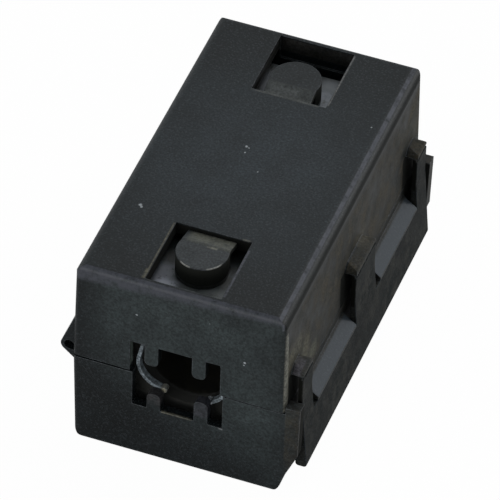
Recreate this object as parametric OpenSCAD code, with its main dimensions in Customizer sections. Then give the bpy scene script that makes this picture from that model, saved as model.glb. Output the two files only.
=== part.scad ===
// Clip-on ferrite bead: a hinged snap case that closes two ferrite halves round a cable.
// The cable runs along Y. The hinge is on the -X side and the latch on the +X side.
// The case stands on its base at Z = 0, with the origin at the middle of the base.

/* [Ferrite core] */
// Length of the core along the cable
core_l = 28.8; // [20:0.1:40]
// Width of the core
core_w = 15; // [12:0.1:20]
// Height of one core half
core_h = 7.75; // [6.5:0.05:10]
// Diameter of the cable bore
bore_d = 7; // [5.5:0.1:7.4]
// Chamfer on the long outer edges of a core half
core_chamfer = 0.6; // [0.2:0.1:1.2]

/* [Case walls] */
// Thickness of the side walls at the parting line
side_wall = 1.3; // [1.1:0.05:2]
// Thickness of the end walls
end_wall = 0.8; // [0.6:0.05:1.5]
// Thickness of the floor
floor_t = 1; // [0.8:0.05:1.6]
// Thickness of the roof
roof_t = 1.2; // [1:0.05:1.6]
// Slope of the long sides, in degrees
side_draft = 1.2; // [0.5:0.1:1.5]
// Radius along the long top edges
top_r = 0.95; // [0.2:0.05:1]
// Radius along the short top edges
top_end_r = 0.5; // [0.2:0.05:1]
// Radius along the long bottom edges
bottom_r = 1.3; // [0.4:0.1:1.6]
// Radius along the short bottom edges
bottom_end_r = 0.5; // [0.2:0.05:0.8]
// Radius of the upright corners
corner_r = 0.4; // [0.2:0.05:0.7]
// Gap between the rims on the hinge side
hinge_rim_gap = 0.2; // [0.1:0.05:0.4]
// Gap between the rims on the latch side
latch_rim_gap = 0.06; // [0.05:0.01:0.2]

/* [Core seats] */
// Gap between the core and the side walls, filled by the crush ribs
core_gap = 0.2; // [0.15:0.05:0.4]
// Gap between the ends of the core and the end walls
end_room = 0.9; // [0.85:0.05:1.5]
// Height of the seat ribs on the floor
seat_h = 0.3; // [0.2:0.05:0.6]
// Width of a seat rib
seat_w = 1.2; // [0.8:0.1:2]
// Distance of the seat ribs from the centre line
seat_x = 5.2; // [3:0.1:5.5]
// Height by which the core halves stand proud of the lower rim
core_proud = 0.05; // [0.02:0.01:0.1]
// Room over the upper core half for the springs
spring_room = 1; // [0.8:0.05:1.6]
// Width of a crush rib
crush_rib_w = 0.9; // [0.6:0.1:1.5]
// Distance between neighbouring crush ribs
crush_rib_pitch = 9.5; // [6:0.5:10]
// Width of an end stop
stop_w = 1.2; // [0.8:0.1:1.6]
// Distance of the end stops from the centre line
stop_x = 6; // [5.6:0.1:6.2]
// Height of the end stops
stop_h = 5; // [3:0.1:6]

/* [Cable opening] */
// Width of the opening in the end walls
opening_w = 7.65; // [6.5:0.05:8.2]
// Height of the opening above the bore's axis
opening_up = 3.3; // [2.8:0.05:3.8]
// Depth of the opening below the bore's axis
opening_down = 3.55; // [2.8:0.05:3.8]
// Offset of the upper half's opening from the centre line
upper_opening_x = -0.3; // [-0.5:0.05:0.5]
// Offset of the lower half's opening from the centre line
lower_opening_x = -0.05; // [-0.5:0.05:0.5]
// Width of a tooth
tooth_w = 1.15; // [0.8:0.05:1.5]
// Distance of a tooth from the middle of its opening
tooth_x = 2; // [1.6:0.05:2.4]
// Radius at the tips of the teeth
tooth_r = 0.45; // [0.2:0.05:0.55]
// Length of the upper teeth
upper_tooth_l = 2.1; // [1:0.05:2.4]
// Length of the lower tooth on the hinge side
hinge_tooth_l = 1.65; // [1:0.05:2.4]
// Length of the lower tooth on the latch side
latch_tooth_l = 2.2; // [1:0.05:2.4]

/* [Cable claws] */
// Outer radius of a claw's bend
claw_r = 2.6; // [2.2:0.05:2.8]
// Distance from the centre line to the middle of a claw's bend
claw_x = 1.3; // [1.1:0.05:1.5]
// Height of the middle of the bend on the hinge side above the bore's axis
hinge_claw_up = 0.4; // [0.3:0.05:1.2]
// Height of the middle of the bend on the latch side above the bore's axis
latch_claw_up = 0.2; // [0.1:0.05:0.8]
// Sweep of the bend on the hinge side, in degrees
hinge_claw_sweep = 85; // [60:5:95]
// Sweep of the bend on the latch side, in degrees
latch_claw_sweep = 66; // [45:1:80]
// Lean of a claw's straight leg, in degrees
claw_lean = 13; // [0:1:18]
// Radius of the round tip of a claw
claw_tip_r = 0.26; // [0.15:0.01:0.27]
// Thickness of a claw
claw_t = 0.3; // [0.2:0.05:0.45]
// Width of a claw along the cable
claw_w = 0.55; // [0.4:0.05:0.6]
// Gap between a claw and the inside of the end wall
claw_gap = 0.1; // [0.05:0.05:0.2]
// Height of the root that joins a claw to the end wall
claw_root_h = 2; // [1:0.1:3]

/* [Windows and core springs] */
// Width of a window in the roof
window_w = 6.4; // [5.5:0.1:8]
// Length of a window along the cable
window_l = 6.95; // [6.2:0.05:8]
// Wall left between a window and the end of the case
window_rim = 0.6; // [0.4:0.05:0.8]
// Depth below the roof to which a window is cut
window_relief = 1; // [0:0.1:2]
// Width of a spring's arm
spring_w = 4.1; // [2.5:0.1:4.3]
// Thickness of a spring's arm
spring_t = 0.5; // [0.35:0.05:0.6]
// Depth of the arm's root below the top
spring_drop = 0.45; // [0.3:0.05:0.9]
// Length of the sloping part of the arm
spring_slope_l = 1.5; // [1:0.05:1.9]
// Distance from the arm's root to the middle of the disc
spring_reach = 2.35; // [2.2:0.05:3]
// Diameter of the disc that presses on the core
disc_d = 4.3; // [3.5:0.1:5]
// Offset of the near spring from the centre line
near_spring_x = -0.1; // [-0.5:0.05:0.5]
// Offset of the far spring from the centre line
far_spring_x = -0.25; // [-0.5:0.05:0.5]

/* [Latch] */
// Gap between the case and the latch plate
latch_gap = 0.6; // [0.3:0.05:0.8]
// Thickness of the legs
leg_t = 0.4; // [0.35:0.05:0.8]
// Width of the two end legs
end_leg_w = 2.3; // [1.5:0.1:3.5]
// Width of the middle leg
middle_leg_w = 4.7; // [3:0.1:6]
// Height of the leg roots above the parting line
leg_root_up = 3.2; // [2.5:0.1:4]
// Height of the shoulder at the case wall
shoulder_h = 0.7; // [0.6:0.05:1.5]
// Height of the shoulder at its outer edge
shoulder_edge_h = 0.35; // [0.35:0.05:0.5]
// Radius along the shoulder's outer edge
shoulder_r = 0.15; // [0.05:0.05:0.15]
// Largest radius at both ends of a shoulder, seen from the latch side
shoulder_end_r = 1; // [0.1:0.05:1.2]
// Depth of the groove at the leg roots, where the legs flex
flex_groove = 0.15; // [0.05:0.01:0.2]
// Height of that groove
flex_groove_h = 0.3; // [0.2:0.05:0.5]
// Depth of the finger lip's lower edge below the parting line
lip_down = 6.6; // [5:0.1:7]
// Flare of the plate's outer face at its lower edge
lip_flare = 0.6; // [0.2:0.05:1]
// Height above the parting line at which the flare begins
flare_up = 0.5; // [0:0.1:1.5]
// Radius along the lower edge of the finger lip
lip_r = 0.3; // [0.1:0.05:0.4]

/* [Catches] */
// Depth of a catch, out from the case wall
catch_out = 1.25; // [1.05:0.05:1.6]
// Depth of the top of a catch below the parting line
catch_down = 0.85; // [0.4:0.05:1.5]
// Fall of the ramp on a catch
catch_ramp = 1; // [0.6:0.05:1.4]
// Thickness of the tip of a catch
catch_tip = 0.25; // [0.15:0.05:0.5]
// Gap between a catch and the bar below it
bar_gap = 0.1; // [0.05:0.01:0.2]
// Gap in the plate's windows at each end of a catch
catch_room = 0.6; // [0.5:0.05:1]
// Offset of the catches from the middle of their windows
catch_shift = 0.4; // [-0.4:0.05:0.4]

/* [Wings] */
// Thickness of the wings beside the latch plate
wing_t = 1; // [0.7:0.05:1.4]
// Depth of a wing, out from the case wall
wing_out = 1.27; // [1:0.01:1.6]
// Height of a wing above the parting line
wing_up = 0.7; // [0.3:0.05:1]
// Gap between a wing and the latch plate
wing_gap = 0.3; // [0.2:0.05:0.5]
// Height at which the chamfer under a wing begins
wing_chamfer_top = 4.6; // [3:0.1:5.5]
// Height at which the chamfer under a wing ends
wing_chamfer_bottom = 1.45; // [1:0.05:2]
// Gap between a wing and the upper case
wing_clearance = 0.06; // [0.05:0.01:0.15]

/* [Hinge] */
// Length of the hinge
hinge_l = 31; // [20:0.5:31]
// Distance of the hinge axis from the case wall
hinge_out = 1.25; // [1.1:0.05:1.6]
// Height of the sloped rib on the upper half above the hinge axis
hinge_rib_h = 3.5; // [2:0.1:5]
// Thickness of the flexible web
web_t = 0.28; // [0.2:0.01:0.4]
// Radius of the hollow inside the web
hollow_r = 0.45; // [0.3:0.05:0.5]
// Gap at the fold, on each side of the hinge axis
fold_gap = 0.02; // [0.01:0.01:0.05]
// Depth of the web's foot below the parting line
web_foot_down = 0.9; // [0.6:0.05:1.5]

/* [Hidden] */
$fn = 64;
cut = 1;
weld = 0.05;

case_w = core_w + 2 * (core_gap + side_wall);
case_l = core_l + 2 * (end_room + end_wall);
core_seat_z = floor_t + seat_h;
bore_z = core_seat_z + core_h;
lower_h = bore_z - core_proud;
core_top_z = bore_z + core_h;
roof_z = core_top_z + spring_room;
case_h = roof_z + roof_t;
cavity_w = case_w - 2 * side_wall;
cavity_l = case_l - 2 * end_wall;

hinge_x = -case_w / 2 - hinge_out;
hinge_z = case_h / 2;
fold_x = hinge_x + fold_gap;
curl_r = hollow_r + web_t;
hollow_x = fold_x + curl_r;

window_out_y = case_l / 2 - window_rim;
window_in_y = window_out_y - window_l;
spring_root_z = case_h - spring_drop;

latch_l = case_l - 2 * (wing_t + wing_gap);
latch_in_x = case_w / 2 + latch_gap;
latch_out_x = latch_in_x + leg_t;
leg_root_z = lower_h + leg_root_up;
groove_x = latch_out_x - flex_groove;
lip_z = lower_h - lip_down;
latch_window_l = (latch_l - 2 * end_leg_w - middle_leg_w) / 2;
latch_window_y = (middle_leg_w + latch_window_l) / 2;
catch_l = latch_window_l - 2 * catch_room;
catch_top_z = lower_h - catch_down;
catch_tip_z = catch_top_z - catch_ramp;
catch_bottom_z = catch_tip_z - catch_tip;
bar_top_z = catch_bottom_z - bar_gap;

// Half width of the case at height z
function half_w(z) = case_w / 2 - abs(z - lower_h) * tan(side_draft);

// Outline in X and Z, drawn out along Y
module along_y(l) {
  rotate([90, 0, 0]) linear_extrude(l, center = true) children();
}

// Outline in Y and Z, drawn out along X
module along_x(l) {
  rotate([90, 0, 90]) linear_extrude(l, center = true) children();
}

// The children and their mirror image at the other end of the case
module both_ends() {
  children();
  mirror([0, 1, 0]) children();
}

// The children and their mirror image at the other side of the case
module both_sides() {
  children();
  mirror([1, 0, 0]) children();
}

// Polygon with corner i rounded to radii[i], by a true arc
module rounded_polygon(points, radii) {
  count = len(points);
  corners = [for (i = [0:count - 1]) if (radii[i] > 0) i];
  function unit(v) = v / norm(v);
  function to_last(i) = unit(points[(i + count - 1) % count] - points[i]);
  function to_next(i) = unit(points[(i + 1) % count] - points[i]);
  function half_angle(i) = acos(to_last(i) * to_next(i)) / 2;
  function setback(i) = radii[i] / tan(half_angle(i));
  function middle(i) =
    points[i] + unit(to_last(i) + to_next(i)) * radii[i] / sin(half_angle(i));
  difference() {
    polygon(points);
    for (i = corners)
      polygon([points[i] - (to_last(i) + to_next(i)) * weld,
               points[i] + to_last(i) * setback(i),
               middle(i),
               points[i] + to_next(i) * setback(i)]);
  }
  for (i = corners) translate(middle(i)) circle(radii[i]);
}

// Block whose +X side leans by the angle lean about the parting line
module leaning_prism(lean) {
  depth = 2 * case_w;
  translate([case_w / 2, 0, lower_h]) rotate([0, lean, 0])
    linear_extrude(3 * case_h, center = true)
      rounded_polygon([[-depth, -case_l / 2], [0, -case_l / 2],
                       [0, case_l / 2], [-depth, case_l / 2]],
                      [0, corner_r, corner_r, 0]);
}

// Both long sides drafted, with rounded upright corners
module drafted_block(lean) {
  intersection() {
    leaning_prism(lean);
    mirror([1, 0, 0]) leaning_prism(lean);
  }
}

// What lies outside an arc of radius r in the corner between the directions a and b
module corner_cut(corner, a, b, r) {
  half = acos(a * b) / 2;
  middle = corner + (a + b) / norm(a + b) * r / sin(half);
  setback = r / tan(half);
  function outwards(p) = middle + (p - middle) * (1 + cut / r);
  difference() {
    polygon([middle, outwards(corner + a * setback), outwards(corner),
             outwards(corner + b * setback)]);
    translate(middle) circle(r);
  }
}

// Rounds the long edges at height z and the short edges with them. The case's
// sides run from these edges towards the parting line.
module round_edges(z, long_r, short_r) {
  to_parting = z > lower_h ? -1 : 1;
  side = [sin(side_draft), to_parting * cos(side_draft)];
  both_sides()
    along_y(2 * case_l) corner_cut([half_w(z), z], side, [-1, 0], long_r);
  both_ends()
    along_x(2 * case_w) corner_cut([case_l / 2, z], [0, to_parting], [-1, 0], short_r);
}

module lower_form() {
  difference() {
    intersection() {
      drafted_block(side_draft);
      translate([-case_w, -case_l, 0]) cube([2 * case_w, 2 * case_l, lower_h]);
    }
    round_edges(0, bottom_r, bottom_end_r);
  }
}

// The rim rises a little towards the hinge
module upper_form() {
  rim_rise = hinge_rim_gap - latch_rim_gap;
  rim_z = lower_h + latch_rim_gap + rim_rise / 2;
  difference() {
    intersection() {
      drafted_block(-side_draft);
      along_y(2 * case_l)
        polygon([[-case_w, rim_z + rim_rise], [case_w, rim_z - rim_rise],
                 [case_w, case_h], [-case_w, case_h]]);
    }
    round_edges(case_h, top_r, top_end_r);
  }
}

// Room for a core half, open towards the parting line
module cavity(z_low, z_high) {
  translate([-cavity_w / 2, -cavity_l / 2, z_low])
    cube([cavity_w, cavity_l, z_high - z_low]);
}

// Ribs that grip the core at its sides, from z_low to z_high
module crush_ribs(z_low, z_high) {
  for (row = [-1, 0, 1])
    both_sides()
      translate([core_w / 2, row * crush_rib_pitch - crush_rib_w / 2, z_low])
        cube([core_gap + weld, crush_rib_w, z_high - z_low]);
}

// Blocks that hold the core lengthwise, from z_low to z_high
module end_stops(z_low, z_high) {
  both_ends()
    both_sides()
      translate([stop_x - stop_w / 2, core_l / 2, z_low])
        cube([stop_w, end_room + weld, z_high - z_low]);
}

module seat_ribs() {
  both_sides()
    translate([seat_x - seat_w / 2, -core_l / 2, floor_t - weld])
      cube([seat_w, core_l, seat_h + weld]);
}

// Cut through both end walls, from z_low to z_high
module cable_opening(middle_x, z_low, z_high) {
  translate([middle_x - opening_w / 2, -case_l / 2 - cut, z_low])
    cube([opening_w, case_l + 2 * cut, z_high - z_low]);
}

// Tooth of length l that points up from z = 0, in the +Y end wall
module tooth(x, l) {
  translate([x, (case_l - end_wall) / 2, 0])
    along_y(end_wall)
      rounded_polygon([[-tooth_w / 2, -weld], [tooth_w / 2, -weld],
                       [tooth_w / 2, l], [-tooth_w / 2, l]],
                      [0, 0, tooth_r, tooth_r]);
}

// Outline of a claw on the hinge side, about the middle of its bend:
// a straight leg that leans inwards, and a bend that ends in a round tip
module claw_outline(sweep, leg_l) {
  middle_r = claw_r - claw_t / 2;
  far = 3 * claw_r;
  start = 180 - claw_lean;
  end = 180 + sweep;
  intersection() {
    difference() {
      circle(claw_r);
      circle(claw_r - claw_t);
    }
    polygon([[0, 0], far * [cos(start), sin(start)],
             far * [cos((start + end) / 2), sin((start + end) / 2)],
             far * [cos(end), sin(end)]]);
  }
  translate(middle_r * [cos(end), sin(end)]) circle(claw_tip_r);
  rotate(start) translate([claw_r - claw_t, -leg_l]) square([claw_t, leg_l]);
}

// Claw on the hinge side of the +Y end: free beside the opening, and rooted in
// the end wall above it
module claw(bend_up, sweep) {
  bend_z = bore_z + bend_up;
  root_z = bore_z + opening_up + claw_gap;
  leg_l = (root_z + claw_root_h - bend_z) / cos(claw_lean);
  free_y = cavity_l / 2 - claw_gap - claw_w;
  translate([-claw_x, free_y + claw_w / 2, bend_z])
    along_y(claw_w) claw_outline(sweep, leg_l);
  intersection() {
    translate([-claw_x, cavity_l / 2 - claw_gap / 2, bend_z])
      along_y(2 * claw_gap) claw_outline(sweep, leg_l);
    translate([-cavity_w / 2, 0, root_z]) cube([cavity_w, case_l / 2, case_h - root_z]);
  }
}

// Ledge of the upper half that carries one leg of the latch plate
module shoulder(y_low, y_high) {
  top_z = leg_root_z + shoulder_h;
  edge_z = leg_root_z + shoulder_edge_h;
  end_r = min(shoulder_end_r, 0.45 * (y_high - y_low));
  intersection() {
    along_y(2 * case_l)
      rounded_polygon([[half_w(top_z) - weld, leg_root_z], [latch_out_x, leg_root_z],
                       [latch_out_x, edge_z], [half_w(top_z) - weld, top_z]],
                      [0, 0, shoulder_r, 0]);
    along_x(2 * case_w)
      rounded_polygon([[y_low, leg_root_z - cut], [y_high, leg_root_z - cut],
                       [y_high, top_z], [y_low, top_z]],
                      [0, 0, end_r, end_r]);
  }
}

// Circle round the hollow beside the fold
module curl(r) {
  translate([hollow_x, hinge_z]) circle(r);
}

// Sloped rib along the hinge side of the upper half. Its outer face runs down
// to meet the curl round the hollow, as far as the fold.
module hinge_rib() {
  rib_top_z = hinge_z + hinge_rib_h;
  top_x = -half_w(rib_top_z);
  to_top = [top_x - hollow_x, rib_top_z - hinge_z];
  touch = atan2(to_top.y, to_top.x) + acos(curl_r / norm(to_top));
  along_y(hinge_l)
    difference() {
      union() {
        curl(curl_r);
        polygon([[top_x + weld, rib_top_z], [top_x, rib_top_z],
                 [hollow_x + curl_r * cos(touch), hinge_z + curl_r * sin(touch)],
                 [hollow_x, hinge_z - cut], [top_x + weld, hinge_z - cut]]);
      }
      curl(hollow_r);
      translate([hinge_x - cut, hinge_z + fold_gap - 2 * hinge_out])
        square(2 * hinge_out);
    }
}

// Wall beside the latch plate at the +Y end of the lower half, chamfered below
module wing() {
  root_x = (case_w - side_wall) / 2;
  top_z = lower_h + wing_up;
  top_x = case_w / 2 + wing_out;
  inner_x = case_w / 2 + wing_clearance;
  chamfer_x = top_x - (top_z - wing_chamfer_top) * tan(side_draft);
  translate([0, (case_l - wing_t) / 2, 0])
    along_y(wing_t)
      polygon([[root_x, wing_chamfer_bottom],
               [half_w(wing_chamfer_bottom), wing_chamfer_bottom],
               [chamfer_x, wing_chamfer_top], [top_x, top_z],
               [inner_x, top_z], [inner_x, lower_h], [root_x, lower_h]]);
}

// Ramped hook below the middle of one window of the latch plate
module catch_hook(window_y) {
  root_in = side_wall / 2;
  root_x = case_w / 2 - root_in;
  tip_x = case_w / 2 + catch_out;
  root_z = catch_top_z + root_in * catch_ramp / catch_out;
  translate([0, window_y + catch_shift, 0])
    along_y(catch_l)
      polygon([[root_x, catch_bottom_z], [tip_x, catch_bottom_z],
               [tip_x, catch_tip_z], [root_x, root_z]]);
}

module lower_case() {
  sill_z = bore_z - opening_down;
  color("#2b2d30") {
    difference() {
      lower_form();
      cavity(floor_t, lower_h + cut);
      cable_opening(lower_opening_x, sill_z, lower_h + cut);
    }
    seat_ribs();
    crush_ribs(floor_t - weld, lower_h - cut);
    end_stops(floor_t - weld, floor_t + stop_h);
    both_ends() {
      translate([0, 0, sill_z]) {
        tooth(lower_opening_x - tooth_x, hinge_tooth_l);
        tooth(lower_opening_x + tooth_x, latch_tooth_l);
      }
      wing();
    }
    for (end = [-1, 1]) catch_hook(end * latch_window_y);
  }
}

module upper_case() {
  lintel_z = bore_z + opening_up;
  end_leg_y = latch_l / 2 - end_leg_w;
  color("#2b2d30") {
    difference() {
      upper_form();
      cavity(lower_h - cut, roof_z);
      cable_opening(upper_opening_x, lower_h - cut, lintel_z);
      both_ends()
        translate([-window_w / 2, window_in_y, roof_z - window_relief])
          cube([window_w, window_l, roof_t + window_relief + cut]);
    }
    crush_ribs(lower_h + cut, roof_z + weld);
    end_stops(roof_z - stop_h, roof_z + weld);
    both_ends() {
      translate([0, 0, lintel_z])
        mirror([0, 0, 1])
          for (side = [-1, 1]) tooth(upper_opening_x + side * tooth_x, upper_tooth_l);
      claw(hinge_claw_up, hinge_claw_sweep);
      mirror([1, 0, 0]) claw(latch_claw_up, latch_claw_sweep);
      shoulder(end_leg_y, latch_l / 2);
    }
    shoulder(-middle_leg_w / 2, middle_leg_w / 2);
    hinge_rib();
  }
}

// Half of the core, with the bore's axis at the origin and its seat downwards
module core_half() {
  side_z = core_chamfer - core_h;
  floor_x = core_w / 2 - core_chamfer;
  along_y(core_l)
    difference() {
      polygon([[-core_w / 2, 0], [-core_w / 2, side_z], [-floor_x, -core_h],
               [floor_x, -core_h], [core_w / 2, side_z], [core_w / 2, 0]]);
      circle(d = bore_d);
    }
}

module lower_core() {
  color("#3c3b3d") translate([0, 0, bore_z]) core_half();
}

module upper_core() {
  color("#3c3b3d") translate([0, 0, bore_z]) mirror([0, 0, 1]) core_half();
}

// Web that curls from the lower half's wall to the fold, below the hinge axis
module hinge_strap() {
  foot_z = lower_h - web_foot_down;
  color("#2b2d30")
    difference() {
      along_y(hinge_l)
        difference() {
          union() {
            curl(curl_r);
            polygon([[hollow_x - curl_r * sin(45), hinge_z - curl_r * sin(45)],
                     [-half_w(foot_z), foot_z], [weld - half_w(foot_z), lower_h - weld],
                     [hollow_x, hinge_z - hollow_r]]);
          }
          curl(hollow_r);
          translate([hinge_x - cut, hinge_z - fold_gap]) square(2 * hinge_out);
          translate([hollow_x, lower_h - weld]) square(2 * hinge_out);
        }
      lower_form();
    }
}

// Legs, and the bar with the finger lip, in the closed position
module latch_plate() {
  color("#303236")
    difference() {
      along_y(latch_l)
        rounded_polygon([[latch_in_x, lip_z], [latch_out_x + lip_flare, lip_z],
                         [latch_out_x, lower_h + flare_up],
                         [latch_out_x, leg_root_z - flex_groove_h],
                         [groove_x, leg_root_z - flex_groove_h],
                         [groove_x, leg_root_z], [latch_in_x, leg_root_z]],
                        [lip_r, lip_r, 0, 0, 0, 0, 0]);
      for (end = [-1, 1])
        translate([latch_in_x - cut, end * latch_window_y - latch_window_l / 2, bar_top_z])
          cube([leg_t + lip_flare + 2 * cut, latch_window_l, leg_root_z]);
    }
}

// Spring tongue of the window at the +Y end, about middle_x: a sloping arm, and the
// disc and post that press on the core
module core_spring(middle_x) {
  slope_y = window_in_y + spring_slope_l;
  end_y = window_in_y + spring_reach + disc_d / 2 + cut;
  color("#303236")
    translate([middle_x, 0, 0]) intersection() {
      along_x(disc_d + cut)
        polygon([[window_in_y, spring_root_z - spring_t], [window_in_y, spring_root_z],
                 [slope_y, case_h], [end_y, case_h], [end_y, core_top_z],
                 [slope_y, core_top_z], [slope_y, case_h - spring_t]]);
      linear_extrude(case_h + cut) {
        translate([-spring_w / 2, window_in_y]) square([spring_w, spring_reach]);
        translate([0, window_in_y + spring_reach]) circle(d = disc_d);
      }
    }
}

module near_core_spring() {
  mirror([0, 1, 0]) core_spring(near_spring_x);
}

module far_core_spring() {
  core_spring(far_spring_x);
}

lower_case();
lower_core();
upper_case();
upper_core();
hinge_strap();
latch_plate();
near_core_spring();
far_core_spring();
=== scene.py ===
from math import cos, radians, sin
from types import SimpleNamespace

import bmesh
import bpy
from mathutils import Matrix, Vector


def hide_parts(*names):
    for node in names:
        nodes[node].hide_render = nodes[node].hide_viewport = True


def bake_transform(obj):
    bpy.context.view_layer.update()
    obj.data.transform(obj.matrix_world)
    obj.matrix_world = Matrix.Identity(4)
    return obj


mm = 0.001

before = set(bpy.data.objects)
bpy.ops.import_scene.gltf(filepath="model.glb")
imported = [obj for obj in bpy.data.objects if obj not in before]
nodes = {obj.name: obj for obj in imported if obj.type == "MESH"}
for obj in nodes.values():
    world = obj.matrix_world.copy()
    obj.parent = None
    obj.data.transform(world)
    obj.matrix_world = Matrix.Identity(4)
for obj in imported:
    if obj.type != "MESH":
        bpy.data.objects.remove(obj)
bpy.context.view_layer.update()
print("frame loaded")


def newMaterial(name):
    material = bpy.data.materials.new(name)
    material.use_nodes = True
    material.node_tree.nodes.clear()
    return material, material.node_tree


def addNode(tree, kind, sockets=None, **settings):
    node = tree.nodes.new(kind)
    for key, value in settings.items():
        setattr(node, key, value)
    for key, value in (sockets or {}).items():
        if isinstance(value, bpy.types.NodeSocket):
            tree.links.new(value, node.inputs[key])
        else:
            node.inputs[key].default_value = value
    return node


def calc(tree, operation, a, b=0.0, c=0.0):
    node = addNode(tree, "ShaderNodeMath", {0: a, 1: b, 2: c}, operation=operation)
    return node.outputs[0]


def product(tree, first, *others):
    for other in others:
        first = calc(tree, "MULTIPLY", first, other)
    return first


def vectorCalc(tree, operation, a, b=(0.0, 0.0, 0.0)):
    return addNode(tree, "ShaderNodeVectorMath", {0: a, 1: b}, operation=operation)


# 0 where value is at low, 1 where it is at high
def fadeIn(tree, value, low, high):
    node = addNode(tree, "ShaderNodeMapRange",
                   {"Value": value, "From Min": low, "From Max": high},
                   interpolation_type="SMOOTHSTEP")
    return node.outputs[0]


def fadeMm(tree, value, low, high):
    return fadeIn(tree, value, low * mm, high * mm)


# 1 where value lies between low and high, with soft ends
def band(tree, value, low, high, soft):
    return product(tree, fadeIn(tree, value, low - soft, low + soft),
                   fadeIn(tree, value, high + soft, high - soft))


def bandMm(tree, value, low, high, soft):
    return band(tree, value, low * mm, high * mm, soft * mm)


def mixColor(tree, amount, first, second, blend="MIX"):
    node = addNode(tree, "ShaderNodeMix", data_type="RGBA", blend_type=blend)
    for index, value in ((0, amount), (6, first), (7, second)):
        if isinstance(value, bpy.types.NodeSocket):
            tree.links.new(value, node.inputs[index])
        else:
            node.inputs[index].default_value = value if index == 0 else (*value[:3], 1)
    return node.outputs[2]


# Where a spot of the surface lies on the object, and how far it faces along each axis
def readSpot(tree):
    coord = addNode(tree, "ShaderNodeTexCoord").outputs
    place = addNode(tree, "ShaderNodeSeparateXYZ", {0: coord["Object"]}).outputs
    facing = addNode(tree, "ShaderNodeSeparateXYZ", {0: coord["Normal"]}).outputs
    return SimpleNamespace(place=coord["Object"], x=place[0], y=place[1], z=place[2],
                           facingX=facing[0], facingY=facing[1], facingZ=facing[2])


# Distance from a point that is given in millimetres
def distance(tree, place, point):
    metres = tuple(part * mm for part in point)
    return vectorCalc(tree, "DISTANCE", place, metres).outputs["Value"]


# 1 in the core of a ball and 0 outside the ball, in millimetres; core is a share of
# the radius
def ballZone(tree, place, middle, radius, core):
    return fadeMm(tree, distance(tree, place, middle), radius, radius * core)


# 1 inside the box from low to high, in millimetres
def boxZone(tree, spot, low, high, soft):
    return product(tree, bandMm(tree, spot.x, low[0], high[0], soft),
                   bandMm(tree, spot.y, low[1], high[1], soft),
                   bandMm(tree, spot.z, low[2], high[2], soft))


# Tints the inside of each box; each is (low, high, softness, colour), in millimetres
def addPatches(tree, spot, color, patches, strength):
    for low, high, soft, tint in patches:
        zone = product(tree, boxZone(tree, spot, low, high, soft), strength)
        color = mixColor(tree, zone, color, tint)
    return color


shiftWay = (1, 0.7, -1)    # along which the noise of each layer is moved off the others


# Noise whose features are about size millimetres across
def noise(tree, place, size, detail, roughness=0.5, shift=0.0):
    offset = tuple(part * shift for part in shiftWay)
    moved = vectorCalc(tree, "ADD", place, offset).outputs[0]
    node = addNode(tree, "ShaderNodeTexNoise",
                   {"Vector": moved, "Scale": 1 / (size * mm), "Detail": detail,
                    "Roughness": roughness})
    return node.outputs["Fac"]


# 0 where the noise is at low, 1 where it is at high
def clouds(tree, place, low, high, **settings):
    return fadeIn(tree, noise(tree, place, **settings), low, high)


cameraSet = {
    "azimuth": 18.89,      # angles in degrees
    "elevation": 43.32,
    "roll": 2.07,
    "distance": 512.06,    # lengths in millimetres
    "aimRight": 0.349,
    "aimUp": 6.965,
    "lens": 449.87,
    "sensor": 36,
}


def makeCamera(values):
    azimuth, elevation, roll = (radians(values[key])
                                for key in ("azimuth", "elevation", "roll"))
    back = Vector((sin(azimuth) * cos(elevation), -cos(azimuth) * cos(elevation),
                   sin(elevation)))
    level = Vector((0, 0, 1)).cross(back).normalized()
    upright = back.cross(level)
    right = cos(roll) * level + sin(roll) * upright
    up = cos(roll) * upright - sin(roll) * level
    data = bpy.data.cameras.new("camera")
    data.lens = values["lens"]
    data.sensor_width = values["sensor"]
    camera = bpy.data.objects.new("camera", data)
    bpy.context.scene.collection.objects.link(camera)
    turn = Matrix((right, up, back)).transposed().to_4x4()
    place = (right * values["aimRight"] + up * values["aimUp"]
             + back * values["distance"]) * mm
    camera.matrix_world = Matrix.Translation(place) @ turn
    bpy.context.scene.camera = camera


makeCamera(cameraSet)
print("camera placed")


studio = {
    "floorSize": 1200,
    "floorColor": (0.88, 0.88, 0.88),
    "floorShow": 0.98,      # how far the floor shows as plain white
    "floorMirror": 0.15,    # the same in gloss
    "roomShow": 1.0,        # how bright the room is in gloss
    "roomLight": 0.40,
    "roomColor": (0.93, 0.98, 1.0),
    "lamps": [              # all in millimetres and watts
        {"place": (60, 120, 260), "size": 150, "power": 0.25},
        {"place": (-70, 190, 220), "size": 150, "power": 0.02},
        {"place": (-80, -300, 60), "size": 140, "power": 0.40},
        {"place": (230, 230, 85), "size": 70, "power": 0.22},
    ],
    "aim": (0, 0, 9),
}


# 1 for the rays that see the background through gloss or glass
def mirrorRays(tree, path):
    return calc(tree, "MAXIMUM", path.outputs["Is Glossy Ray"],
                path.outputs["Is Transmission Ray"])


def makeRoom(values):
    world = bpy.data.worlds.new("room")
    bpy.context.scene.world = world
    world.use_nodes = True
    tree = world.node_tree
    tree.nodes.clear()
    path = addNode(tree, "ShaderNodeLightPath")
    strength = calc(tree, "MAXIMUM", path.outputs["Is Camera Ray"],
                    calc(tree, "MULTIPLY", mirrorRays(tree, path), values["roomShow"]))
    strength = calc(tree, "MAXIMUM", strength, values["roomLight"])
    color = mixColor(tree, path.outputs["Is Camera Ray"], values["roomColor"], (1, 1, 1))
    light = addNode(tree, "ShaderNodeBackground", {"Color": color, "Strength": strength})
    addNode(tree, "ShaderNodeOutputWorld", {"Surface": light.outputs[0]})


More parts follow.
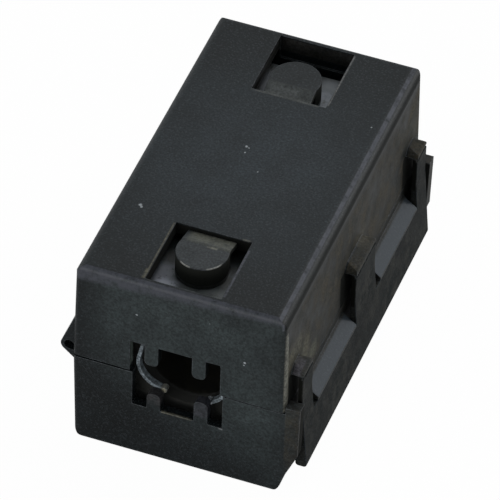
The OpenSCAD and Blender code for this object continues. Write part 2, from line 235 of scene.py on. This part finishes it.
# Shows as white to the camera, but keeps the shadow
def paleFloor(values):
    material, tree = newMaterial("paleFloor")
    path = addNode(tree, "ShaderNodeLightPath")
    share = calc(tree, "MAXIMUM",
                 calc(tree, "MULTIPLY", path.outputs["Is Camera Ray"], values["floorShow"]),
                 calc(tree, "MULTIPLY", mirrorRays(tree, path), values["floorMirror"]))
    matt = addNode(tree, "ShaderNodeBsdfDiffuse", {"Color": (*values["floorColor"], 1)})
    white = addNode(tree, "ShaderNodeEmission", {"Color": (1, 1, 1, 1), "Strength": 1})
    mixed = addNode(tree, "ShaderNodeMixShader",
                    {0: share, 1: matt.outputs[0], 2: white.outputs[0]})
    addNode(tree, "ShaderNodeOutputMaterial", {"Surface": mixed.outputs[0]})
    return material


def makeFloor(values):
    half = values["floorSize"] * mm / 2
    corners = [(-half, -half, 0), (half, -half, 0), (half, half, 0), (-half, half, 0)]
    mesh = bpy.data.meshes.new("floor")
    mesh.from_pydata(corners, [], [(0, 1, 2, 3)])
    floor = bpy.data.objects.new("floor", mesh)
    bpy.context.scene.collection.objects.link(floor)
    mesh.materials.append(paleFloor(values))


def hangLamps(values):
    for number, lamp in enumerate(values["lamps"]):
        data = bpy.data.lights.new(f"softbox{number}", "AREA")
        data.size = lamp["size"] * mm
        data.energy = lamp["power"]
        light = bpy.data.objects.new(f"softbox{number}", data)
        light.location = Vector(lamp["place"]) * mm
        towards = Vector(values["aim"]) * mm - light.location
        light.rotation_mode = "QUATERNION"
        light.rotation_quaternion = towards.to_track_quat("-Z", "Y")
        bpy.context.scene.collection.objects.link(light)


bpy.context.scene.view_settings.view_transform = "Standard"
makeRoom(studio)
makeFloor(studio)
hangLamps(studio)
print("studio lit")


# Lengths are in millimetres. A pair says where a layer begins and where it is full, a
# triple gives the two ends of a band and how soft they are, and "Facing" is how far the
# surface looks along an axis, from -1 to 1
casePlastic = {
    "color": (0.0030, 0.0044, 0.0050),
    "mottle": 0.30,                             # how far the colour swings both ways
    "mottleClouds": {"low": 0.3, "high": 0.7, "size": 4.5, "detail": 4},
    "roughness": 0.45,
    "specular": 0.155,
    "ior": 1.5,

    "paintedSheenColor": (0.0205, 0.0262, 0.0310),      # painted sheen, patchy, round the roof's middle
    "sheenMiddle": (0, 0, 19),
    "sheenReach": (17, 2),
    "sheenFacing": (0.5, 0.9),
    "sheenClouds": {"low": -0.3, "high": 1.1, "size": 3.0, "detail": 3,
                   "roughness": 0.4, "shift": 3.0},
    "endPaintedLightColor": (0.0290, 0.0375, 0.0385),   # and painted reflection, paler up and to the right on the near end
    "endLightTilt": 0.6,
    "endLightRise": (1, 12),
    "endLightDepth": (-14, -15),
    "endLightLeft": (-9, -5.2),
    "endLightRight": (10.5, 7),
    "endLightFacing": (-0.5, -0.9),

    "paintedHighlightColor": (0.044, 0.046, 0.056),         # painted highlight, a pale band under the roof's near edge
    "highlightTilt": -0.05,                          # which runs lower on the left
    "highlightRise": (17.75, 18.4),
    "highlightDepth": (-15.1, -15.3),
    "highlightFacing": (-0.1, -0.4),
    "highlightClouds": {"low": 0.2, "high": 0.6, "size": 0.8, "detail": 5,
                   "roughness": 0.7, "shift": 15.0},
    "sideHighlightColor": (0.072, 0.075, 0.088),     # painted highlight, a pale band on the edge above the latch
    "sideHighlightRise": (17.8, 18.1),
    "sideHighlightFacing": (0.28, 0.6, 0.06),
    "foot": 0.75,                               # how dark the painted shade at the foot of that edge is
    "footRise": (17.8, 18.6, 0.3),
    "footFacing": (0.65, 0.85),

    "dust": 1.0,                                # brown dust on the latch side's walls
    "dustColor": (0.045, 0.038, 0.026),
    "dustTint": (0.022, 0.0215, 0.0175),        # darker, greener patches in the dust
    "dustStart": (8.6, 8.7),
    "dustRise": (18.0, 16.9),
    "dustFacing": (0.93, 0.995),
    "dustOuter": (9.0, 9.1),                    # beyond this every face holds dust
    "dustRough": 0.35,
    "dustClouds": {"low": 0.25, "high": 0.7, "size": 3.0, "detail": 6,
                   "roughness": 0.62, "shift": 9.0},
    "tintClouds": {"low": 0.38, "high": 0.62, "size": 1.3, "detail": 5,
                   "roughness": 0.65, "shift": 12.0},
    # dust that lies thick, painted highlights and painted light
    "patches": [
        # the near corner, the wall round the near leg, and the legs' shoulders
        ((8.8, -15.5, 13.0), (9.2, -12.3, 14.8), 0.5, (0.090, 0.086, 0.064)),
        ((8.8, -12.3, 10.8), (9.2, -10.6, 13.2), 0.5, (0.090, 0.086, 0.062)),
        ((8.8, -10.6, 9.6), (9.2, -8.8, 11.0), 0.4, (0.075, 0.075, 0.055)),
        ((9.05, -14.8, 12.2), (9.7, -13.2, 13.2), 0.1, (0.045, 0.042, 0.048)),
        # a painted highlight down the near vertical corner
        ((8.8, -16.03, 9), (9.2, -15.4, 17.3), 0.08, (0.145, 0.141, 0.118)),
        ((8.8, 0.6, 12.4), (9.6, 2.6, 13.6), 0.6, (0.062, 0.056, 0.042)),
        # pale lines round the near window, worn and painted as edge highlights
        ((-3.37, -15.4, 18.9), (-3.25, -8.7, 19.1), 0.05, (0.075, 0.070, 0.052)),
        ((-3.5, -15.5, 18.9), (-3.25, -14.4, 19.1), 0.1, (0.085, 0.080, 0.058)),
        ((3.22, -15.2, 18.9), (3.4, -9.5, 19.1), 0.06, (0.05, 0.052, 0.063)),
        ((2.4, -8.54, 18.9), (3.0, -8.42, 19.1), 0.08, (0.10, 0.098, 0.08)),
        # pale lines round the far window, worn and painted as edge highlights, and painted
        # light on its shaded walls
        ((3.22, 8.8, 18.9), (3.35, 15.3, 19.1), 0.05, (0.10, 0.10, 0.098)),
        ((-3.2, 8.36, 18.9), (2.6, 8.5, 19.1), 0.06, (0.055, 0.057, 0.053)),
        ((-3.3, 8.5, 17.5), (3.3, 15.6, 18.85), 0.05, (0.016, 0.015, 0.0135)),
        # the left side of the near cable opening
        ((-4.4, -15.98, 9.6), (-3.9, -15.3, 12.6), 0.04, (0.11, 0.13, 0.115)),
    ],
    "patchClouds": {"low": 0.2, "high": 0.55, "size": 1.2, "detail": 5,
                    "roughness": 0.6, "shift": 18.0},

    "rampPaintedLight": (0.030, 0.037, 0.045),         # ramps of the catches, clean and painted paler as lit
    "rampStart": (9.1, 9.3),
    "rampRise": (8.8, 8.6),
    "rampFacing": (0.5, 0.75, 0.05),

    "edgeRadius": 0.12,
    "edgeSamples": 6,
    # how far edges pale: wear, and painted edge highlights
    "edgeWearAndHighlight": 0.9,
    "edgeBend": (0.995, 0.85),                  # cosine of an edge's turn
    "wearAndHighlightColor": (0.085, 0.092, 0.10),
    "wearClouds": {"low": 0.35, "high": 0.65, "size": 1.3, "detail": 4,
                   "roughness": 0.7, "shift": 2.0},

    "clawColor": (0.26, 0.30, 0.33),            # the claws, whitened by bending
    "clawReach": (0, 4.3, 0.05),                # to both sides of the middle
    "clawDepth": (14.64, 15.24, 0.02),          # at both ends
    "clawRise": (12.5, 11.6),
    "clawLeg": 0.4,                             # how white they are above the bend
    "clawBend": (11.6, 10.4),
    "clawClouds": {"low": 0.25, "high": 0.75, "size": 0.5, "detail": 4,
                   "roughness": 0.7, "shift": 4.0},
    # place in X and Z, size and colour of each claw's tip
    "tips": [
        (-1.51, 7.01, 0.4, (0.16, 0.15, 0.115)),
        (2.3, 7.01, 0.4, (0.62, 0.65, 0.70)),
    ],
    "tipCore": 0.4,

    "rims": [],

    "grain": {"size": 0.2, "detail": 2, "roughness": 0.6, "shift": 5.0},
    "grainFade": (0.3, 0.7),
    "grainTone": 0.42,                          # how far the tone swings both ways
    "grainDepth": 0.012,
    "grainBump": 0.8,
    "salt": 0.24,                               # fine pale points in the grain
    "saltColor": (0.075, 0.085, 0.095),
    "saltFacing": (-1.0, 0.6),
    "saltPoints": {"low": 0.50, "high": 0.72, "size": 0.16, "detail": 2, "shift": 7.0},

    # place and radius of each pale fleck
    "flecks": [
        (-1.14, 1.82, 19, 0.14), (-0.88, 1.72, 19, 0.10), (-1.0, 1.1, 19, 0.09),
        (0.73, -0.69, 19, 0.10), (-6.56, -7.75, 19, 0.20), (-6.4, -7.95, 19, 0.14),
        (7.4, 7.7, 19, 0.08), (-3.58, -16.1, 15.4, 0.11), (5.51, -16.1, 13.43, 0.14),
        (5.45, -16.1, 13.15, 0.10), (2.53, -16.1, 16.61, 0.06),
    ],
    "fleck": 0.8,
    "fleckColor": (0.34, 0.36, 0.38),
    "fleckCore": 0.4,
    "fleckRagged": 0.2,                         # how far their outlines wander
    "fleckWander": 0.15,                        # and over what length

    # boxes of black painted shade: behind the legs, and on the near window's walls
    "paintedShadePlaces": [
        ((8.85, -15.3, 8.9), (9.2, -12.4, 12.25), 0.1),
        ((8.85, -3.2, 8.9), (9.2, 2.35, 12.25), 0.1),
        ((8.85, 11.9, 8.9), (9.2, 14.8, 12.25), 0.1),
        ((-3.3, -15.45, 17.5), (3.3, -8.5, 18.85), 0.05),
    ],
    "paintedShadeColor": (0.0035, 0.0037, 0.0028),
    "paintedShadeFacing": (0.4, 0.2),                  # none on faces that look up
}

lowerPlastic = dict(
    casePlastic, dust=0.5, tips=[], flecks=[],
    # the near end's two lower teeth, and worn lines below them
    patches=[
        ((-2.75, -16.2, 6.1), (-1.35, -15.2, 8), 0.25, (0.030, 0.028, 0.029)),
        ((1.25, -16.2, 6.1), (2.7, -15.2, 8), 0.25, (0.028, 0.028, 0.034)),
        ((-1.4, -16.2, 5.4), (1.2, -15.95, 5.6), 0.05, (0.09, 0.084, 0.062)),
        ((3.5, -16.2, 5.35), (3.85, -15.95, 5.45), 0.08, (0.16, 0.165, 0.17)),
    ],
    # painted shade on the inner half of each wing's outer face, and on the wall behind the
    # legs
    paintedShadePlaces=[
        ((9.3, -15.9, 1), (10.4, -14.9, 9.6), 0.05),
        ((9.3, 14.9, 1), (10.4, 15.2, 9.6), 0.05),
        ((8.85, -15.3, 7), (9.2, -12.8, 9.9), 0.4),
        ((8.85, -2.8, 7), (9.2, 1.9, 9.9), 0.4),
        ((8.85, 12.3, 7), (9.2, 14.8, 9.9), 0.4),
    ],
)

clipPlastic = dict(
    casePlastic, color=(0.0038, 0.0045, 0.0043), roughness=0.65, specular=0.08,
    dust=0.95, dustColor=(0.030, 0.0298, 0.0268), dustTint=(0.0045, 0.0063, 0.0062),
    dustRough=0.1, edgeWearAndHighlight=0.5, patches=[], tips=[], flecks=[],
    # painted shade on the near side of each leg
    paintedShadePlaces=[
        ((9, -14.85, 7.6), (9.95, -14.75, 12.1), 0.05),
        ((9, -2.42, 8.8), (9.95, -2.28, 12.1), 0.05),
        ((9, 12.43, 8.8), (9.95, 12.57, 12.1), 0.05),
    ],
)

tonguePlastic = dict(
    # a paler painted sheen on the tongues' tops
    casePlastic, paintedSheenColor=(0.050, 0.055, 0.058), dust=0, grainTone=0.3, tips=[],
    flecks=[],
    patches=[
        # the near tongue's slope, dusty and painted paler as lit, and its disc
        ((-1.7, -10.2, 18.3), (2.3, -8.3, 19.1), 0.35, (0.082, 0.083, 0.068)),
        ((-2.3, -13.1, 18.95), (2.1, -10.3, 19.1), 0.04, (0.030, 0.033, 0.035)),
        # the far tongue's slope, dusty and painted paler towards its root as lit
        ((-2.3, 8.5, 18.3), (2.1, 10.1, 19.1), 0.1, (0.032, 0.035, 0.034)),
        ((-1.9, 8.5, 18.2), (0.6, 9.8, 19.1), 0.3, (0.058, 0.062, 0.061)),
        ((-2.3, 8.5, 18.3), (2.0, 9.0, 18.9), 0.2, (0.078, 0.083, 0.078)),
        # a painted highlight on the near tongue's crease, and the feet of both posts
        ((0.1, -10.4, 18.6), (0.9, -10.25, 19.1), 0.12, (0.17, 0.165, 0.135)),
        ((-3, -15.4, 16.7), (3, 15.4, 17.2), 0.25, (0.026, 0.029, 0.025)),
    ],
    # painted highlights on stretches of the near disc's rim
    rims=[
        ((-1.3, -13.2, 18.8), (-0.4, -12.5, 19.1), 0.1),
        ((0.9, -12.8, 18.8), (1.8, -11.6, 19.1), 0.1),
    ],
    rimMiddle=(-0.1, -10.9, 0), rimRadii=(2.08, 2.2, 0.03), rimHighlightColor=(0.23, 0.23, 0.215),
    # painted shade on the sides of both tongues
    paintedShadePlaces=[((-3, -14, 17.2), (3, 14, 18.9), 0.05)],
    paintedShadeColor=(0.014, 0.0148, 0.0125),
)


def addMottle(tree, spot, values):
    dark, light = (tuple(part * (1 + swing) for part in values["color"])
                   for swing in (-values["mottle"], values["mottle"]))
    mottle = clouds(tree, spot.place, **values["mottleClouds"])
    return mixColor(tree, mottle, dark, light)


# Painted sheen round the roof's middle, and painted reflection on the near end
def addPaintedLight(tree, spot, color, values):
    patchy = clouds(tree, spot.place, **values["sheenClouds"])
    middle = distance(tree, spot.place, values["sheenMiddle"])
    roof = product(tree, fadeIn(tree, spot.facingZ, *values["sheenFacing"]),
                   fadeMm(tree, middle, *values["sheenReach"]), patchy)
    # painted reflection, paler up and to the right on the near end
    tilted = calc(tree, "MULTIPLY_ADD", spot.x, values["endLightTilt"], spot.z)
    end = product(tree, fadeIn(tree, spot.facingY, *values["endLightFacing"]),
                  fadeMm(tree, tilted, *values["endLightRise"]),
                  fadeMm(tree, spot.y, *values["endLightDepth"]),
                  fadeMm(tree, spot.x, *values["endLightLeft"]),
                  fadeMm(tree, spot.x, *values["endLightRight"]), patchy)
    color = mixColor(tree, roof, color, values["paintedSheenColor"])
    return mixColor(tree, end, color, values["endPaintedLightColor"])


# Painted highlights, pale bands along the roof's edges; also returns where they lie
def addPaintedHighlights(tree, spot, color, values):
    smeared = clouds(tree, spot.place, **values["highlightClouds"])
    tilted = calc(tree, "MULTIPLY_ADD", spot.x, values["highlightTilt"], spot.z)
    end = product(tree, fadeIn(tree, spot.facingY, *values["highlightFacing"]), smeared,
                  fadeMm(tree, spot.y, *values["highlightDepth"]),
                  fadeMm(tree, tilted, *values["highlightRise"]))
    side = product(tree, band(tree, spot.facingX, *values["sideHighlightFacing"]), smeared,
                   fadeMm(tree, spot.z, *values["sideHighlightRise"]))
    color = mixColor(tree, end, color, values["paintedHighlightColor"])
    color = mixColor(tree, side, color, values["sideHighlightColor"])
    return color, calc(tree, "MAXIMUM", end, side)


# The dust on the latch side; also returns how thick it lies
def addDust(tree, spot, color, values):
    walls = calc(tree, "MAXIMUM", fadeIn(tree, spot.facingX, *values["dustFacing"]),
                 fadeMm(tree, spot.x, *values["dustOuter"]))
    dust = product(tree, walls, clouds(tree, spot.place, **values["dustClouds"]),
                   values["dust"], fadeMm(tree, spot.x, *values["dustStart"]),
                   fadeMm(tree, spot.z, *values["dustRise"]))
    tint = mixColor(tree, clouds(tree, spot.place, **values["tintClouds"]),
                    values["dustColor"], values["dustTint"])
    return mixColor(tree, dust, color, tint), dust


# The latch slides over the sloping faces of the catches and keeps them clean; they are also
# painted paler, as painted light
def findRamps(tree, spot, values):
    return product(tree, band(tree, spot.facingX, *values["rampFacing"]),
                   fadeMm(tree, spot.x, *values["rampStart"]),
                   fadeMm(tree, spot.z, *values["rampRise"]))


# Edges are rounded a little, and paled in places, partly wear and partly painted edge
# highlight; also returns the round surface
def wearAndHighlightEdges(tree, spot, color, values):
    rounded = addNode(tree, "ShaderNodeBevel", {"Radius": values["edgeRadius"] * mm},
                      samples=values["edgeSamples"]).outputs[0]
    flat = addNode(tree, "ShaderNodeNewGeometry").outputs["True Normal"]
    bend = vectorCalc(tree, "DOT_PRODUCT", rounded, flat).outputs["Value"]
    wornAndLit = product(tree, fadeIn(tree, bend, *values["edgeBend"]),
                   clouds(tree, spot.place, **values["wearClouds"]), values["edgeWearAndHighlight"])
    return mixColor(tree, wornAndLit, color, values["wearAndHighlightColor"]), rounded


def whitenClaws(tree, spot, color, values):
    if not values["tips"]:
        return color
    claws = product(tree,
                    bandMm(tree, calc(tree, "ABSOLUTE", spot.y), *values["clawDepth"]),
                    bandMm(tree, calc(tree, "ABSOLUTE", spot.x), *values["clawReach"]),
                    fadeMm(tree, spot.z, *values["clawRise"]))
    streaks = clouds(tree, spot.place, **values["clawClouds"])
    bent = calc(tree, "MULTIPLY_ADD", fadeMm(tree, spot.z, *values["clawBend"]),
                1 - values["clawLeg"], values["clawLeg"])
    color = mixColor(tree, product(tree, claws, streaks, bent), color,
                     values["clawColor"])
    across = addNode(tree, "ShaderNodeCombineXYZ", {0: spot.x, 2: spot.z}).outputs[0]
    for x, z, size, tint in values["tips"]:
        tip = ballZone(tree, across, (x, 0, z), size, values["tipCore"])
        color = mixColor(tree, product(tree, claws, tip), color, tint)
    return color


# Painted highlights on stretches of a disc's rim
def paintRimHighlights(tree, spot, color, values):
    if not values["rims"]:
        return color
    level = addNode(tree, "ShaderNodeCombineXYZ", {0: spot.x, 1: spot.y}).outputs[0]
    ring = bandMm(tree, distance(tree, level, values["rimMiddle"]), *values["rimRadii"])
    for low, high, soft in values["rims"]:
        rim = product(tree, ring, boxZone(tree, spot, low, high, soft))
        color = mixColor(tree, rim, color, values["rimHighlightColor"])
    return color


# Fine grain in the tone, but none where smooth is 1; also returns the grain
def addGrain(tree, spot, color, smooth, values):
    grain = noise(tree, spot.place, **values["grain"])
    tone = calc(tree, "MULTIPLY_ADD", fadeIn(tree, grain, *values["grainFade"]),
                2 * values["grainTone"], 1 - values["grainTone"])
    tone = calc(tree, "ADD", smooth,
                product(tree, tone, calc(tree, "SUBTRACT", 1, smooth)))
    tone = addNode(tree, "ShaderNodeCombineXYZ", {0: tone, 1: tone, 2: tone}).outputs[0]
    return mixColor(tree, 1.0, color, tone, "MULTIPLY"), grain


def addSalt(tree, spot, color, values):
    salt = product(tree, clouds(tree, spot.place, **values["saltPoints"]),
                   values["salt"], fadeIn(tree, spot.facingZ, *values["saltFacing"]))
    return mixColor(tree, salt, color, values["saltColor"])


def addFlecks(tree, spot, color, values):
    if not values["flecks"]:
        return color
    ragged = values["fleckRagged"]
    wander = addNode(tree, "ShaderNodeTexNoise",
                     {"Vector": spot.place, "Scale": 1 / (values["fleckWander"] * mm)})
    pushed = addNode(tree, "ShaderNodeVectorMath",
                     {0: wander.outputs["Color"], 1: (ragged * mm,) * 3, 2: spot.place},
                     operation="MULTIPLY_ADD").outputs[0]
    flecks = 0.0
    for *place, radius in values["flecks"]:
        # The noise pushes the surface by half of ragged on average
        middle = [part + ragged / 2 for part in place]
        fleck = ballZone(tree, pushed, middle, radius, values["fleckCore"])
        flecks = calc(tree, "MAXIMUM", flecks, fleck)
    flecks = product(tree, flecks, values["fleck"])
    return mixColor(tree, flecks, color, values["fleckColor"])


# 1 where painted shade hides the plastic, also at the foot of the edge above the latch
def findPaintedShade(tree, spot, values):
    paintedShade = 0.0
    for low, high, soft in values["paintedShadePlaces"]:
        paintedShade = calc(tree, "MAXIMUM", paintedShade, boxZone(tree, spot, low, high, soft))
    paintedShade = product(tree, paintedShade, fadeIn(tree, spot.facingZ, *values["paintedShadeFacing"]))
    foot = product(tree, fadeIn(tree, spot.facingX, *values["footFacing"]),
                   values["foot"], bandMm(tree, spot.z, *values["footRise"]))
    return calc(tree, "MAXIMUM", paintedShade, foot)


def mouldedPlastic(name, values):
    material, tree = newMaterial(name)
    spot = readSpot(tree)
    color = addMottle(tree, spot, values)
    color = addPaintedLight(tree, spot, color, values)
    color, paintedHighlights = addPaintedHighlights(tree, spot, color, values)
    color, dust = addDust(tree, spot, color, values)
    uneven = clouds(tree, spot.place, **values["patchClouds"])
    color = addPatches(tree, spot, color, values["patches"], uneven)
    ramps = findRamps(tree, spot, values)
    # the ramps painted paler as lit, painted light
    color = mixColor(tree, ramps, color, values["rampPaintedLight"])
    color, rounded = wearAndHighlightEdges(tree, spot, color, values)
    color = whitenClaws(tree, spot, color, values)
    color = paintRimHighlights(tree, spot, color, values)
    smooth = calc(tree, "MAXIMUM", ramps, paintedHighlights)
    color, grain = addGrain(tree, spot, color, smooth, values)
    color = addSalt(tree, spot, color, values)
    color = addFlecks(tree, spot, color, values)
    paintedShade = findPaintedShade(tree, spot, values)
    color = mixColor(tree, paintedShade, color, values["paintedShadeColor"])

    dust = product(tree, dust, calc(tree, "SUBTRACT", 1, ramps))
    rough = calc(tree, "MULTIPLY_ADD", dust, values["dustRough"], values["roughness"])
    rough = calc(tree, "MAXIMUM", rough, paintedShade)
    bump = addNode(tree, "ShaderNodeBump",
                   {"Strength": values["grainBump"], "Normal": rounded,
                    "Distance": values["grainDepth"] * mm, "Height": grain})
    shader = addNode(tree, "ShaderNodeBsdfPrincipled",
                     {"Base Color": color, "Roughness": rough,
                      "Specular IOR Level": values["specular"], "IOR": values["ior"],
                      "Normal": bump.outputs[0]})
    addNode(tree, "ShaderNodeOutputMaterial", {"Surface": shader.outputs[0]})
    return material


def dress(name, material):
    slots = nodes[name].material_slots
    for slot in slots:
        slot.material = material
    if not len(slots):
        nodes[name].data.materials.append(material)


dress("upper_case", mouldedPlastic("upperPlastic", casePlastic))
shellPlastic = mouldedPlastic("lowerPlastic", lowerPlastic)
for name in ("lower_case", "hinge_strap"):
    dress(name, shellPlastic)
dress("latch_plate", mouldedPlastic("clipPlastic", clipPlastic))
tongue = mouldedPlastic("tonguePlastic", tonguePlastic)
for name in ("near_core_spring", "far_core_spring"):
    dress(name, tongue)
print("plastic made")


# Pairs and lengths are as in casePlastic
ferriteFinish = {
    "color": (0.003, 0.003, 0.0025),
    "paleColor": (0.010, 0.0095, 0.006),
    "paleClouds": {"low": 0.3, "high": 0.7, "size": 1.8, "detail": 4,
                   "roughness": 0.6, "shift": 3.0},
    "glossColor": (0.93, 0.96, 1.0),
    "roughness": 0.42,
    "ior": 1.6,

    "scratch": {"size": 0.12, "detail": 3, "roughness": 0.6},
    "scratchLength": 12,                   # in widths of a scratch
    "scratchFade": (0.5, 0.7),
    "scratchTone": 0.4,
    "scratchHeight": 0.5,
    "grain": {"size": 0.09, "detail": 2, "roughness": 0.6},
    "grainDepth": 0.010,
    "grainBump": 0.7,
    "grainRough": 0.2,                     # how far the roughness swings with the grain

    "topColor": (0.024, 0.029, 0.031),     # dusty patches on the top face
    "topRise": (13, 14),
    "topClouds": {"low": 0.4, "high": 0.6, "size": 1.2, "detail": 5,
                  "roughness": 0.65, "shift": 6.0},
    # painted light on the top face, in pale patches below the near and the far window
    "patches": [
        ((-3.4, -13.4, 16.5), (-2.0, -11.2, 17), 0.5, (0.17, 0.18, 0.21)),
        ((-3, -15.3, 16.5), (-1.3, -12.8, 17), 0.4, (0.36, 0.375, 0.44)),
        ((-1.2, -15.3, 16.5), (3.4, -12.6, 17), 0.5, (0.11, 0.12, 0.12)),
        ((-3.4, 8, 16.5), (-1.6, 13.5, 17), 0.4, (0.08, 0.085, 0.095)),
        ((1.2, 8, 16.5), (3.4, 12.7, 17), 0.3, (0.10, 0.110, 0.130)),
        ((1.2, 12.9, 16.5), (3.4, 14.2, 17), 0.5, (0.115, 0.125, 0.135)),
    ],
    "patchClouds": {"low": 0.3, "high": 0.5, "size": 0.8, "detail": 5,
                    "roughness": 0.65, "shift": 11.0},

    "boreColor": (0.050, 0.046, 0.026),    # paler olive inside the bore
    "boreMiddle": (0, 0, 9.5),
    "boreEdge": (3.7, 3.6),
    "endColor": (0.0042, 0.0037, 0.0014),  # olive dirt on the ends
    "endRise": (16.4, 15.6),
    "endDepth": (12.6, 13.6),
}


# Sintered and ground: fine grain, and faint grinding lines along the cable
def groundFerrite(values):
    material, tree = newMaterial("ferrite")
    spot = readSpot(tree)
    drawn = vectorCalc(tree, "MULTIPLY", spot.place,
                       (1, 1 / values["scratchLength"], 1)).outputs[0]
    lines = noise(tree, drawn, **values["scratch"])
    grain = noise(tree, spot.place, **values["grain"])
    pale = clouds(tree, spot.place, **values["paleClouds"])
    color = mixColor(tree, pale, values["color"], values["paleColor"])
    scratches = product(tree, fadeIn(tree, lines, *values["scratchFade"]),
                        values["scratchTone"])
    color = mixColor(tree, scratches, color, values["paleColor"])

    top = product(tree, fadeMm(tree, spot.z, *values["topRise"]),
                  clouds(tree, spot.place, **values["topClouds"]))
    color = mixColor(tree, top, color, values["topColor"])
    uneven = clouds(tree, spot.place, **values["patchClouds"])
    color = addPatches(tree, spot, color, values["patches"], uneven)
    across = addNode(tree, "ShaderNodeCombineXYZ", {0: spot.x, 2: spot.z}).outputs[0]
    bore = fadeMm(tree, distance(tree, across, values["boreMiddle"]), *values["boreEdge"])
    color = mixColor(tree, bore, color, values["boreColor"])
    ends = product(tree, fadeMm(tree, spot.z, *values["endRise"]),
                   fadeMm(tree, calc(tree, "ABSOLUTE", spot.y), *values["endDepth"]))
    color = mixColor(tree, ends, color, values["endColor"])

    height = calc(tree, "MULTIPLY_ADD", lines, values["scratchHeight"], grain)
    bump = addNode(tree, "ShaderNodeBump",
                   {"Strength": values["grainBump"], "Height": height,
                    "Distance": values["grainDepth"] * mm})
    rough = calc(tree, "MULTIPLY_ADD", grain, values["grainRough"],
                 values["roughness"] - values["grainRough"] / 2)
    rough = calc(tree, "MAXIMUM", rough, ends)
    shader = addNode(tree, "ShaderNodeBsdfPrincipled",
                     {"Base Color": color, "Roughness": rough, "IOR": values["ior"],
                      "Specular Tint": (*values["glossColor"], 1),
                      "Normal": bump.outputs[0]})
    addNode(tree, "ShaderNodeOutputMaterial", {"Surface": shader.outputs[0]})
    return material


ferrite = groundFerrite(ferriteFinish)
for name in ("lower_core", "upper_core"):
    dress(name, ferrite)
print("ferrite made")


edgeRounds = {
    "radii": {             # of the small round on the edges of each piece
        "latch_plate": 0.06,
        "near_core_spring": 0.07,
        "far_core_spring": 0.07,
        "lower_core": 0.07,
        "upper_core": 0.07,
    },
    "segments": 3,
    "sharpAngle": 30,      # edges that turn by more degrees than this are rounded
    "flatAngle": 1,        # and those that turn by fewer than this are dissolved first
    "weldGap": 0.001,
}


def roundEdges(name, radius, values):
    piece = nodes[name]
    weld = piece.modifiers.new("weld", "WELD")
    weld.merge_threshold = values["weldGap"] * mm
    planes = piece.modifiers.new("planes", "DECIMATE")
    planes.decimate_type = "DISSOLVE"
    planes.angle_limit = radians(values["flatAngle"])
    bevel = piece.modifiers.new("bevel", "BEVEL")
    bevel.width = radius * mm
    bevel.segments = values["segments"]
    bevel.limit_method = "ANGLE"
    bevel.angle_limit = radians(values["sharpAngle"])
    bevel.use_clamp_overlap = False


for name, radius in edgeRounds["radii"].items():
    roundEdges(name, radius, edgeRounds)
print("edges rounded")


hingeWeb = {
    "length": 31,
    "foldX": -10.23,      # the thin fold, at the hinge's axis
    "foldZ": 9.5,
    "outerRadius": 0.73,
    "innerRadius": 0.45,
    "inset": 0.01,        # by which both curls lie inside those of the solid web
    "outerEnd": 225,      # degrees at which each curl leaves its arc
    "innerEnd": 262,
    "pastFold": 6,        # degrees by which the web reaches into the upper half
    "wallX": -8.94,
    "footX": -9.02,
    "footZ": 8.12,
    "rimZ": 8.95,
    "arcSteps": 14,
    "rows": 20,
    "bendDepth": 0.12,    # a height at the fold
}


# The web's section: the outer curl, its foot on the wall, and the inner curl
def webOutline(values):
    middleX = values["foldX"] + values["outerRadius"]
    middleZ = values["foldZ"]

    def arc(radius, start, end):
        steps = values["arcSteps"]
        angles = [radians(start + (end - start) * step / steps)
                  for step in range(steps + 1)]
        return [(middleX + radius * cos(angle), middleZ + radius * sin(angle))
                for angle in angles]

    past = 180 - values["pastFold"]
    inset = values["inset"]
    return (arc(values["outerRadius"] - inset, past, values["outerEnd"])
            + [(values["footX"], values["footZ"]), (values["wallX"], values["rimZ"])]
            + arc(values["innerRadius"] + inset, values["innerEnd"], past))


# The curled web, drawn out along the hinge, curls round the fold
def makeHingeWeb(values, material):
    outline = webOutline(values)
    mesh = bmesh.new()
    rings = []
    for row in range(values["rows"] + 1):
        y = values["length"] * (row / values["rows"] - 0.5)
        rings.append([mesh.verts.new((x * mm, y * mm, z * mm)) for x, z in outline])
    for first, second in zip(rings, rings[1:]):
        for index in range(len(outline)):
            after = (index + 1) % len(outline)
            mesh.faces.new((first[index], first[after], second[after], second[index]))
    mesh.faces.new(rings[0])
    mesh.faces.new(rings[-1])
    bmesh.ops.recalc_face_normals(mesh, faces=mesh.faces)
    data = bpy.data.meshes.new("hingeWeb")
    mesh.to_mesh(data)
    mesh.free()
    data.materials.append(material)
    web = bpy.data.objects.new("hingeWeb", data)
    bpy.context.scene.collection.objects.link(web)
    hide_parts("hinge_strap")
    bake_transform(web)


makeHingeWeb(hingeWeb, shellPlastic)
print("hinge web made")
